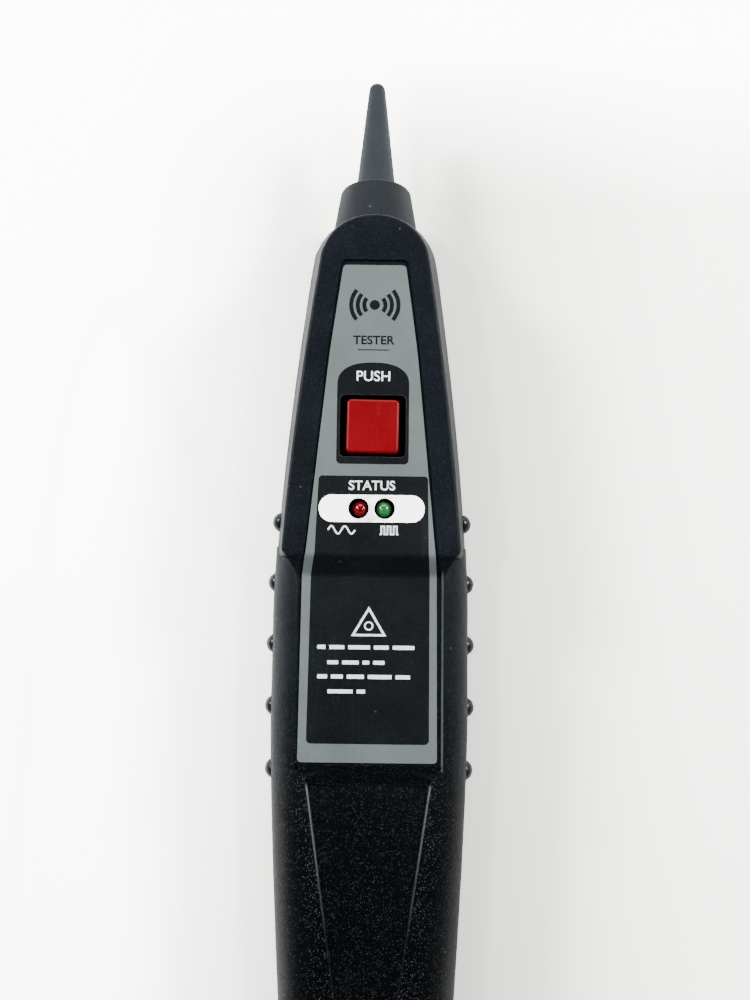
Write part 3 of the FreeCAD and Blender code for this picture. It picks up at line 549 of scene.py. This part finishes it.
finishes = {
    "front_shell": texturedPlastic, "rear_shell": texturedPlastic, "battery_door": texturedPlastic,
    "nose_collar": smoothPlastic, "probe_tip": tipPlastic, "volume_wheel": gripRubber,
    "right_grip_strip": gripRubber, "left_grip_strip": gripRubber,
    "tip_contact": brass, "tip_lead": wireJacket("greyWire", (0.18, 0.18, 0.19), (0.26, 0.26, 0.27)),
    "torch_led": lensPlastic("torchLens", torchLensLook),
    "led_red": lensPlastic("redLens", redLensLook),
    "led_green": lensPlastic("greenLens", greenLensLook), "led_pins": tinned,
    "label_overlay": greyFilm, "push_button": redButton, "button_spring": springSteel,
    "switch_plunger": greyPlastic, "switch_body": chipPlastic,
    "circuit_board": boardGreen(), "amplifier_chip": chipPlastic, "capacitors": canMetal,
    "resistors": chipPlastic,
    "speaker_basket": tinned, "speaker_cone": conePaper,
    "speaker_magnet": ferrite, "speaker_gasket": foamMaterial,
    "battery": batteryJacket(), "battery_terminals": tinned, "battery_snap": chipPlastic,
    "battery_lead_red": wireJacket("redWire", (0.4, 0.012, 0.012), (0.52, 0.02, 0.02)),
    "battery_lead_black": wireJacket("blackWire", (0.01, 0.01, 0.01), (0.025, 0.025, 0.025)),
    "foam_pad": foamMaterial, "volume_shaft": brass, "wheel_screw": zincScrew, "volume_control": tinned,
    "earphone_jack": chipPlastic, "case_screws": zincScrew,
}
finishes["torch_leads"] = finishes["tip_lead"]
finishes["speaker_leads"] = finishes["battery_lead_black"]
finishes["tail_leads"] = finishes["battery_lead_red"]
finishes["tail_board"] = finishes["circuit_board"]

for name, obj in nodes.items():
    finish = finishes[name]
    if not obj.data.materials:
        obj.data.materials.append(finish)
    for i in range(len(obj.data.materials)):
        obj.data.materials[i] = finish
print("finishes on", len(nodes), "nodes")


# The label's surface: face, ramp and platform, with a bend at each end of the ramp

band = {
    "face": 0.0279,
    "platform": 0.0254,
    "rampTop": 0.0152,
    "rampFoot": 0.0116,
    "topBend": 0.002,
    "footBend": 0.002,
}


def bandHeight(y):
    slope = math.atan2(band["face"] - band["platform"], band["rampTop"] - band["rampFoot"])
    topReach = band["topBend"] * math.tan(slope / 2)
    footReach = band["footBend"] * math.tan(slope / 2)
    topCentre = band["rampTop"] + topReach
    footCentre = band["rampFoot"] - footReach
    if y >= topCentre:
        return band["face"]
    if y >= topCentre - band["topBend"] * math.sin(slope):
        return band["face"] - band["topBend"] + math.sqrt(band["topBend"] ** 2 - (y - topCentre) ** 2)
    if y > footCentre + band["footBend"] * math.sin(slope):
        return band["face"] - (band["rampTop"] - y) * math.tan(slope)
    if y > footCentre:
        return band["platform"] + band["footBend"] - math.sqrt(band["footBend"] ** 2 - (y - footCentre) ** 2)
    return band["platform"]


markLift = 0.02  # mm above the label's surface, on the black field
wordLift = 0.032
greyWordLift = 0.012
inkThickness = 0.015
bendLines = [15.8, 15.6, 15.4, 15.2, 15.0, 14.8, 14.7, 12.15, 11.95, 11.75, 11.55, 11.35, 11.2, 11.0]


def layOnLabel(obj, lift):
    for vertex in obj.data.vertices:
        vertex.co.z += bandHeight(vertex.co.y) + lift
    obj.data.update()
    return obj


def finishPiece(obj, name, material, body="housing"):
    pick(obj)
    bpy.ops.object.transform_apply(location=True, rotation=True, scale=True)
    obj.name = name
    obj.data.name = name
    obj.data.materials.clear()
    obj.data.materials.append(material)
    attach(obj, body)
    return obj


def addPatch(x0, x1, y0, y1, corners):  # flat, in mm; corners: radius at the tail end, radius at the nose end
    clearSelection()
    bpy.ops.mesh.primitive_plane_add(size=1, location=((x0 + x1) / 2 * mm, (y0 + y1) / 2 * mm, 0))
    obj = bpy.context.object
    obj.scale = ((x1 - x0) * mm, (y1 - y0) * mm, 1)
    bpy.ops.object.transform_apply(location=True, rotation=True, scale=True)
    for side, radius in zip((-1, 1), corners):
        if radius <= 0:
            continue
        middle = (y0 + y1) / 2 * mm
        selectPoints(obj, lambda p: (p.y - middle) * side > 0)
        bpy.ops.mesh.bevel(
            offset=radius * mm, offset_type="OFFSET", segments=10, affect="VERTICES", clamp_overlap=False
        )
        bpy.ops.object.mode_set(mode="OBJECT")
    return obj


def selectPoints(obj, test):
    pick(obj)
    bpy.ops.object.mode_set(mode="EDIT")
    bpy.ops.mesh.select_mode(type="VERT")
    bpy.ops.mesh.select_all(action="DESELECT")
    bpy.ops.object.mode_set(mode="OBJECT")
    for vertex in obj.data.vertices:
        vertex.select = test(vertex.co)
    bpy.ops.object.mode_set(mode="EDIT")


def cutAcross(obj, places):
    pick(obj)
    for y in places:
        bpy.ops.object.mode_set(mode="EDIT")
        bpy.ops.mesh.select_all(action="SELECT")
        bpy.ops.mesh.bisect(plane_co=(0, y * mm, 0), plane_no=(0, 1, 0))
        bpy.ops.object.mode_set(mode="OBJECT")


def applyModifier(obj, kind, **settings):
    pick(obj)
    modifier = obj.modifiers.new(kind.lower(), kind)
    for key, value in settings.items():
        setattr(modifier, key, value)
    bpy.ops.object.modifier_apply(modifier=modifier.name)


def punch(obj, cutters):
    for cutter in cutters:
        applyModifier(obj, "BOOLEAN", operation="DIFFERENCE", object=cutter, solver="EXACT")
    for cutter in cutters:
        bpy.data.objects.remove(cutter)


def thicken(obj, thickness):
    applyModifier(obj, "SOLIDIFY", thickness=thickness * mm, offset=1.0)


def roundCutter(x, y, radius):
    clearSelection()
    place = (x * mm, y * mm, 0)
    bpy.ops.mesh.primitive_cylinder_add(vertices=64, radius=radius * mm, depth=0.004, location=place)
    bpy.ops.object.transform_apply(location=True, rotation=True, scale=True)
    return bpy.context.object


def boxCutter(x, y, width, length, corner):
    clearSelection()
    bpy.ops.mesh.primitive_cube_add(size=1, location=(x * mm, y * mm, 0))
    obj = bpy.context.object
    obj.scale = (width * mm, length * mm, 0.004)
    bpy.ops.object.transform_apply(location=True, rotation=True, scale=True)
    applyModifier(obj, "BEVEL", width=corner * mm, segments=6, limit_method="ANGLE", affect="EDGES")
    return obj


lamps = {"holes": [(-2.55, 24.4), (2.5, 24.4)], "radius": 2.02}


def lampHoles():
    return [roundCutter(x, y, lamps["radius"]) for x, y in lamps["holes"]]


# Black field of the label, from the lamps over the ramp to the platform's end

fieldLook = {
    "half": 12.0,
    "left": [(-10.35, 30.75), (-10.9, 15.8), (-11.7, 11.6), (-12.0, -20.6)],
    "right": [(10.85, 30.75), (11.1, 15.8), (11.45, 11.6), (11.5, -20.6)],
    "corners": (0.9, 0.7),
    "thickness": 0.02,
}


def sideAt(rows, y):
    for (xa, ya), (xb, yb) in zip(rows, rows[1:]):
        if y >= yb:
            return xa + (xb - xa) * (ya - y) / (ya - yb)
    return rows[-1][0]


def makeField():
    half = fieldLook["half"]
    left = fieldLook["left"]
    right = fieldLook["right"]
    obj = addPatch(-half, half, left[-1][1], left[0][1], fieldLook["corners"])
    cutAcross(obj, bendLines)
    for vertex in obj.data.vertices:  # the sides follow the label's own, a little wider at the tail
        y = vertex.co.y / mm
        shift = sideAt(left, y) + half if vertex.co.x < 0 else sideAt(right, y) - half
        vertex.co.x = (vertex.co.x / mm + shift) * mm
    thicken(obj, fieldLook["thickness"])
    punch(obj, lampHoles())
    layOnLabel(obj, 0.0)
    return finishPiece(obj, "label_black_field", blackInk)


makeField()
print("black field laid")


# White pill round the lamps

pillLook = {"width": 20.5, "length": 5.3, "roundness": 0.96}


def makePill():
    half = pillLook["width"] / 2
    tall = pillLook["length"] / 2
    y = lamps["holes"][0][1]
    corner = tall * pillLook["roundness"]
    obj = addPatch(-half, half, y - tall, y + tall, (corner, corner))
    thicken(obj, inkThickness)
    punch(obj, lampHoles())
    layOnLabel(obj, markLift * mm)
    return finishPiece(obj, "label_white_pill", whiteInk)


makePill()
print("white pill laid")


# Black tab round the button, with an arched top

tabLook = {
    "half": 7.05,
    "low": 33.1,
    "shoulder": 49.3,
    "rise": 4.0,
    "corner": 0.9,
    "well": (0.0, 40.65, 13.05, 12.35),
    "wellCorner": 1.0,
    "steps": 28,
    "thickness": 0.02,
}


def makeTab():
    half = tabLook["half"]
    steps = tabLook["steps"]
    obj = addPatch(-half, half, tabLook["low"], tabLook["shoulder"], (tabLook["corner"], 0))
    pick(obj)
    bpy.ops.object.mode_set(mode="EDIT")
    bpy.ops.mesh.select_all(action="SELECT")
    for i in range(1, steps):
        x = -half * math.cos(math.pi * i / steps)
        bpy.ops.mesh.bisect(plane_co=(x * mm, 0, 0), plane_no=(1, 0, 0))
        bpy.ops.mesh.select_all(action="SELECT")
    bpy.ops.object.mode_set(mode="OBJECT")
    for vertex in obj.data.vertices:
        if vertex.co.y > (tabLook["shoulder"] - 0.01) * mm:
            share = min(1.0, abs(vertex.co.x / mm / half))
            vertex.co.y += tabLook["rise"] * mm * math.sqrt(1 - share ** 2.5)
    thicken(obj, tabLook["thickness"])
    punch(obj, [boxCutter(*tabLook["well"], tabLook["wellCorner"])])
    layOnLabel(obj, 0.0)
    return finishPiece(obj, "label_button_tab", blackInk)


makeTab()
print("button tab laid")


# Words and marks on the label

def addWord(word, name, x0, x1, y0, y1, lift, material, bold):
    clearSelection()
    bpy.ops.object.text_add(location=(0, 0, 0))
    obj = bpy.context.object
    obj.data.body = word
    obj.data.size = 0.003
    obj.data.extrude = 0.00001
    obj.data.offset = bold * mm
    obj.data.resolution_u = 6
    bpy.ops.object.convert(target="MESH")
    obj = bpy.context.object
    xs = [v.co.x for v in obj.data.vertices]
    ys = [v.co.y for v in obj.data.vertices]
    wide = max(xs) - min(xs)
    tall = max(ys) - min(ys)
    scale = Vector(((x1 - x0) * mm / wide, (y1 - y0) * mm / tall, 1))
    for vertex in obj.data.vertices:
        vertex.co.x = x0 * mm + (vertex.co.x - min(xs)) * scale.x
        vertex.co.y = y0 * mm + (vertex.co.y - min(ys)) * scale.y
    layOnLabel(obj, lift * mm)
    return finishPiece(obj, name, material)


wordLook = {  # half width, foot and top in mm, height above the label, ink, boldness
    "TESTER": (4.1, 56.95, 58.75, greyWordLift, blackInk, 0.055),
    "PUSH": (3.3, 49.55, 51.6, wordLift, paleInk, 0.03),
    "STATUS": (4.5, 27.95, 29.85, wordLift, paleInk, 0.05),
}

for word, (half, foot, top, lift, ink, bold) in wordLook.items():
    addWord(word, "label_word_" + word.lower(), -half, half, foot, top, lift, ink, bold)
print("words laid")


def addBar(name, x0, x1, y0, y1, lift, material, corner):
    obj = addPatch(x0, x1, y0, y1, (corner, corner))
    cutAcross(obj, [y for y in bendLines if y0 < y < y1])
    thicken(obj, inkThickness)
    layOnLabel(obj, lift * mm)
    return finishPiece(obj, name, material)


underlineLook = {"across": (-3.2, 3.1), "along": (55.75, 55.95), "corner": 0.05}
across = underlineLook["across"]
along = underlineLook["along"]
addBar("label_underline", *across, *along, 0.0, blackInk, underlineLook["corner"])


def strokeSides(points, width):
    closed = points[0] == points[-1]
    first = points[-2] if closed else points[0]
    last = points[1] if closed else points[-1]
    chain = [Vector(point) for point in (first, *points, last)]
    sides = []
    for before, here, after in zip(chain, chain[1:], chain[2:]):
        inward = (here - before).normalized() if (here - before).length > 0 else (after - here).normalized()
        outward = (after - here).normalized() if (after - here).length > 0 else inward
        along = (inward + outward).normalized()
        across = Vector((-along.y, along.x))
        reach = width / 2 / max(0.3, along.dot(outward))
        sides.append((here + across * reach, here - across * reach))
    return sides


def sweepLine(points, width):  # a flat stroke, made by extruding a short edge from place to place
    sides = strokeSides(points, width)
    clearSelection()
    bpy.ops.mesh.primitive_plane_add(size=1, location=(0, 0, 0))
    obj = bpy.context.object
    selectPoints(obj, lambda p: p.x > 0)
    bpy.ops.mesh.delete(type="VERT")
    bpy.ops.object.mode_set(mode="OBJECT")
    for vertex, corner in zip(obj.data.vertices, sides[0]):
        vertex.co = (*(corner * mm), 0)
    for ends in sides[1:]:
        pick(obj)
        total = len(obj.data.vertices)
        bpy.ops.object.mode_set(mode="EDIT")
        bpy.ops.mesh.select_mode(type="VERT")
        bpy.ops.mesh.select_all(action="DESELECT")
        bpy.ops.object.mode_set(mode="OBJECT")
        for vertex in obj.data.vertices[total - 2:]:
            vertex.select = True
        bpy.ops.object.mode_set(mode="EDIT")
        bpy.ops.mesh.select_mode(type="EDGE")
        bpy.ops.mesh.extrude_region_move(TRANSFORM_OT_translate={"value": (0, 0, 0)})
        bpy.ops.object.mode_set(mode="OBJECT")
        for vertex, corner in zip(obj.data.vertices[total:], ends):
            vertex.co = (*(corner * mm), 0)
    pick(obj)
    bpy.ops.object.mode_set(mode="EDIT")
    bpy.ops.mesh.select_all(action="SELECT")
    bpy.ops.mesh.remove_doubles(threshold=0.000002)
    bpy.ops.mesh.normals_make_consistent(inside=False)
    bpy.ops.object.mode_set(mode="OBJECT")
    if obj.data.polygons[0].normal.z < 0:
        obj.data.flip_normals()
    return obj


def layStroke(name, points, width, lift, material):
    obj = sweepLine(points, width)
    thicken(obj, inkThickness)
    layOnLabel(obj, lift * mm)
    return finishPiece(obj, name, material)


def arcPoints(x, y, radius, start, end, steps):
    turn = [math.radians(start + (end - start) * i / steps) for i in range(steps + 1)]
    return [(x + radius * math.cos(a), y + radius * math.sin(a)) for a in turn]


# A plain signal mark at the head of the label: a dot with arcs on both sides
signalLook = {
    "x": 0.1,
    "y": 65.0,
    "dot": 1.0,
    "radii": (2.1, 3.4, 4.7),
    "width": 0.8,
    "spread": 40,
    "steps": 16,
}


def makeSignalMark():
    clearSelection()
    bpy.ops.mesh.primitive_circle_add(vertices=40, radius=signalLook["dot"] * mm, fill_type="NGON",
                                      location=(signalLook["x"] * mm, signalLook["y"] * mm, 0))
    dot = bpy.context.object
    bpy.ops.object.transform_apply(location=True, rotation=True, scale=True)
    thicken(dot, inkThickness)
    layOnLabel(dot, 0.0)
    finishPiece(dot, "label_signal_dot", blackInk)
    for i, radius in enumerate(signalLook["radii"]):
        for side, middle in (("left", 180), ("right", 0)):
            start = middle - signalLook["spread"]
            end = middle + signalLook["spread"]
            points = arcPoints(signalLook["x"], signalLook["y"], radius, start, end, signalLook["steps"])
            name = "label_signal_arc_" + side + "_" + str(i + 1)
            layStroke(name, points, signalLook["width"], 0.0, blackInk)


makeSignalMark()


# Marks under the lamps: a mains wave on the left, a tone pulse on the right
waveLook = {
    "width": 0.32,
    "left": (-8.4, -3.2),
    "right": (1.6, 5.2),
    "y": 20.2,
    "rise": 0.75,
    "steps": 32,
    "pulses": 3,
}


def makeLampMarks():
    x0, x1 = waveLook["left"]
    steps = waveLook["steps"]
    wave = []
    for i in range(steps + 1):
        y = waveLook["y"] + waveLook["rise"] * math.sin(4 * math.pi * i / steps)
        wave.append((x0 + (x1 - x0) * i / steps, y))
    layStroke("label_mains_wave", wave, waveLook["width"], markLift, paleInk)
    x0, x1 = waveLook["right"]
    y0 = waveLook["y"] - waveLook["rise"]
    y1 = waveLook["y"] + waveLook["rise"]
    step = (x1 - x0) / (2 * waveLook["pulses"])
    pulse = [(x0, y0)]
    for i in range(waveLook["pulses"]):
        left = x0 + step * (2 * i + 0.5)
        pulse += [(left, y0), (left, y1), (left + step, y1), (left + step, y0)]
    pulse.append((x1, y0))
    layStroke("label_tone_pulse", pulse, waveLook["width"], markLift, paleInk)


makeLampMarks()


# A plain outlined triangle with a ring in it, and rows of short bars below
noteLook = {
    "triangle": [(-3.35, 0.0), (2.75, 0.0), (-0.3, 5.1), (-3.35, 0.0)],
    "line": 0.42,
    "ring": (-0.3, 1.75, 0.75),
    "ringLine": 0.3,
    "ringSteps": 28,
    "barShare": 0.28,
    "barCorner": 0.12,
    "gap": 0.75,
    "rows": [
        (-2.35, 1.35, -10.2, [1.6, 2.9, 4.2, 2.9, 4.2]),
        (-5.25, 1.3, -8.2, [2.1, 3.2, 1.3, 2.2]),
        (-7.95, 1.35, -10.1, [1.9, 2.3, 3.3, 4.6, 2.8]),
        (-10.75, 1.3, -8.1, [4.9, 1.6]),
    ],
}


def makeNote():
    layStroke("label_triangle", noteLook["triangle"], noteLook["line"], markLift, paleInk)
    ring = arcPoints(*noteLook["ring"], 0, 360, noteLook["ringSteps"])
    layStroke("label_triangle_ring", ring, noteLook["ringLine"], markLift, paleInk)
    for r, (y, tall, x, words) in enumerate(noteLook["rows"]):
        half = tall * noteLook["barShare"]
        for w, length in enumerate(words):
            name = "label_note_bar_" + str(r + 1) + "_" + str(w + 1)
            addBar(name, x, x + length, y - half, y + half, markLift, paleInk, noteLook["barCorner"])
            x += length + noteLook["gap"]


makeNote()
print("marks laid")


# Floor, lights and camera

stageLook = {
    "floor": 3.0,
    "key": {"place": (-0.45, 0.26, 0.37), "size": 0.14, "watts": 4.6},
    "fill": {"place": (0.45, 0.24, 0.37), "size": 0.13, "watts": 4.2},
    "leftSpark": {"place": (-0.17, 0.02, 0.4), "size": 0.026, "watts": 0.3},
    "rightSpark": {"place": (0.19, 0.02, 0.4), "size": 0.026, "watts": 0.3},
    "sky": {"place": (0.0, 0.95, 0.5), "size": 0.7, "watts": 6.0},
    "horizon": (0.86, 0.93, 1.0),
    "behind": (0.4, 0.43, 0.46),
    "zenith": (0.01, 0.012, 0.016),
    "world": 0.72,
    "floorShade": (2.3, 2.3, 2.28),
    "floorSeen": (5.6, 5.6, 5.45),
    "leftShade": (0.5, 0.51, 0.485),
    "rightShade": (0.3, 0.31, 0.29),
}


def floorMaterial():
    mat, tree, shader = newMaterial("paleFloor", (0.8, 0.8, 0.79), 0.5)
    place = objectPlace(tree)
    cloud = addNode(tree, "ShaderNodeTexNoise", {"Scale": 9.0, "Detail": 3.0})
    tree.links.new(place, cloud.inputs["Vector"])
    lines = useGroup(tree, scratchGroup, place, Scale=7.0)
    path = addNode(tree, "ShaderNodeLightPath")
    seen = mixColours(tree, path.outputs["Is Camera Ray"], stageLook["floorShade"], stageLook["floorSeen"])
    clouds = spread(tree, cloud.outputs["Fac"], 0.3, 0.7)
    patches = mixColours(tree, clouds, (0.94, 0.94, 0.93), (1.0, 1.0, 1.0))
    patches = mixColours(tree, product(tree, lines.outputs["Lines"], 0.25), patches, (0.6, 0.6, 0.6))
    x, y, z = separate(tree, place)  # a soft shade lies on both sides of the object
    along = spread(tree, maths(tree, "ABSOLUTE", y), 0.14, 0.1)
    left = product(tree, spread(tree, x, -0.06, -0.014), along)
    patches = mixColours(tree, left, patches, stageLook["leftShade"])
    right = product(tree, spread(tree, x, 0.075, 0.02), spread(tree, x, 0.0, 0.01), along)
    patches = mixColours(tree, right, patches, stageLook["rightShade"])
    matt = addNode(tree, "ShaderNodeBsdfDiffuse")
    tree.links.new(multiplyColours(tree, seen, patches), matt.inputs["Color"])
    out = tree.nodes["Material Output"]
    tree.links.new(matt.outputs[0], out.inputs["Surface"])
    tree.nodes.remove(shader)
    return mat


def makeStage():
    clearSelection()
    bpy.ops.mesh.primitive_plane_add(size=stageLook["floor"], location=(0, 0, -0.00005))
    floor = bpy.context.object
    bpy.ops.object.transform_apply(location=True, rotation=True, scale=True)
    floor.name = "floor"
    floor.data.materials.append(floorMaterial())
    for name in ("key", "fill", "leftSpark", "rightSpark", "sky"):
        look = stageLook[name]
        bpy.ops.object.light_add(type="AREA", location=look["place"])
        lamp = bpy.context.object
        lamp.name = name + "Light"
        lamp.data.size = look["size"]
        lamp.data.energy = look["watts"]
        lamp.rotation_euler = (-Vector(look["place"])).to_track_quat("-Z", "Y").to_euler()
    world = bpy.data.worlds.new("softRoom")
    world.use_nodes = True
    bpy.context.scene.world = world
    tree = world.node_tree
    sky = tree.nodes["Background"]
    x, y, z = separate(tree, addNode(tree, "ShaderNodeTexCoord").outputs["Generated"])
    around = mixColours(tree, spread(tree, y, -0.6, 0.4), stageLook["behind"], stageLook["horizon"])
    upward = spread(tree, z, 0.3, 0.7)  # pale all round, dark overhead
    tree.links.new(mixColours(tree, upward, around, stageLook["zenith"]), sky.inputs["Color"])
    sky.inputs["Strength"].default_value = stageLook["world"]


cameraLook = {"place": (0.000618, 0.011363, 0.177888), "tilt": 5.6, "roll": 0.72, "lens": 28.0}


def makeCamera():
    tilt = math.radians(cameraLook["tilt"])
    roll = math.radians(cameraLook["roll"])
    ahead = Vector((0, math.sin(tilt), -math.cos(tilt)))
    up = Vector((0, math.cos(tilt), math.sin(tilt)))
    right = Vector((1, 0, 0))
    top = up * math.cos(roll) - right * math.sin(roll)
    side = right * math.cos(roll) + up * math.sin(roll)
    clearSelection()
    bpy.ops.object.camera_add()
    camera = bpy.context.object
    camera.data.lens = cameraLook["lens"]
    camera.data.sensor_width = 36.0
    camera.data.clip_start = 0.01
    turn = Matrix((side, top, -ahead)).transposed().to_4x4()
    camera.matrix_world = Matrix.Translation(cameraLook["place"]) @ turn
    bpy.context.scene.camera = camera


makeStage()
makeCamera()
print("stage set")
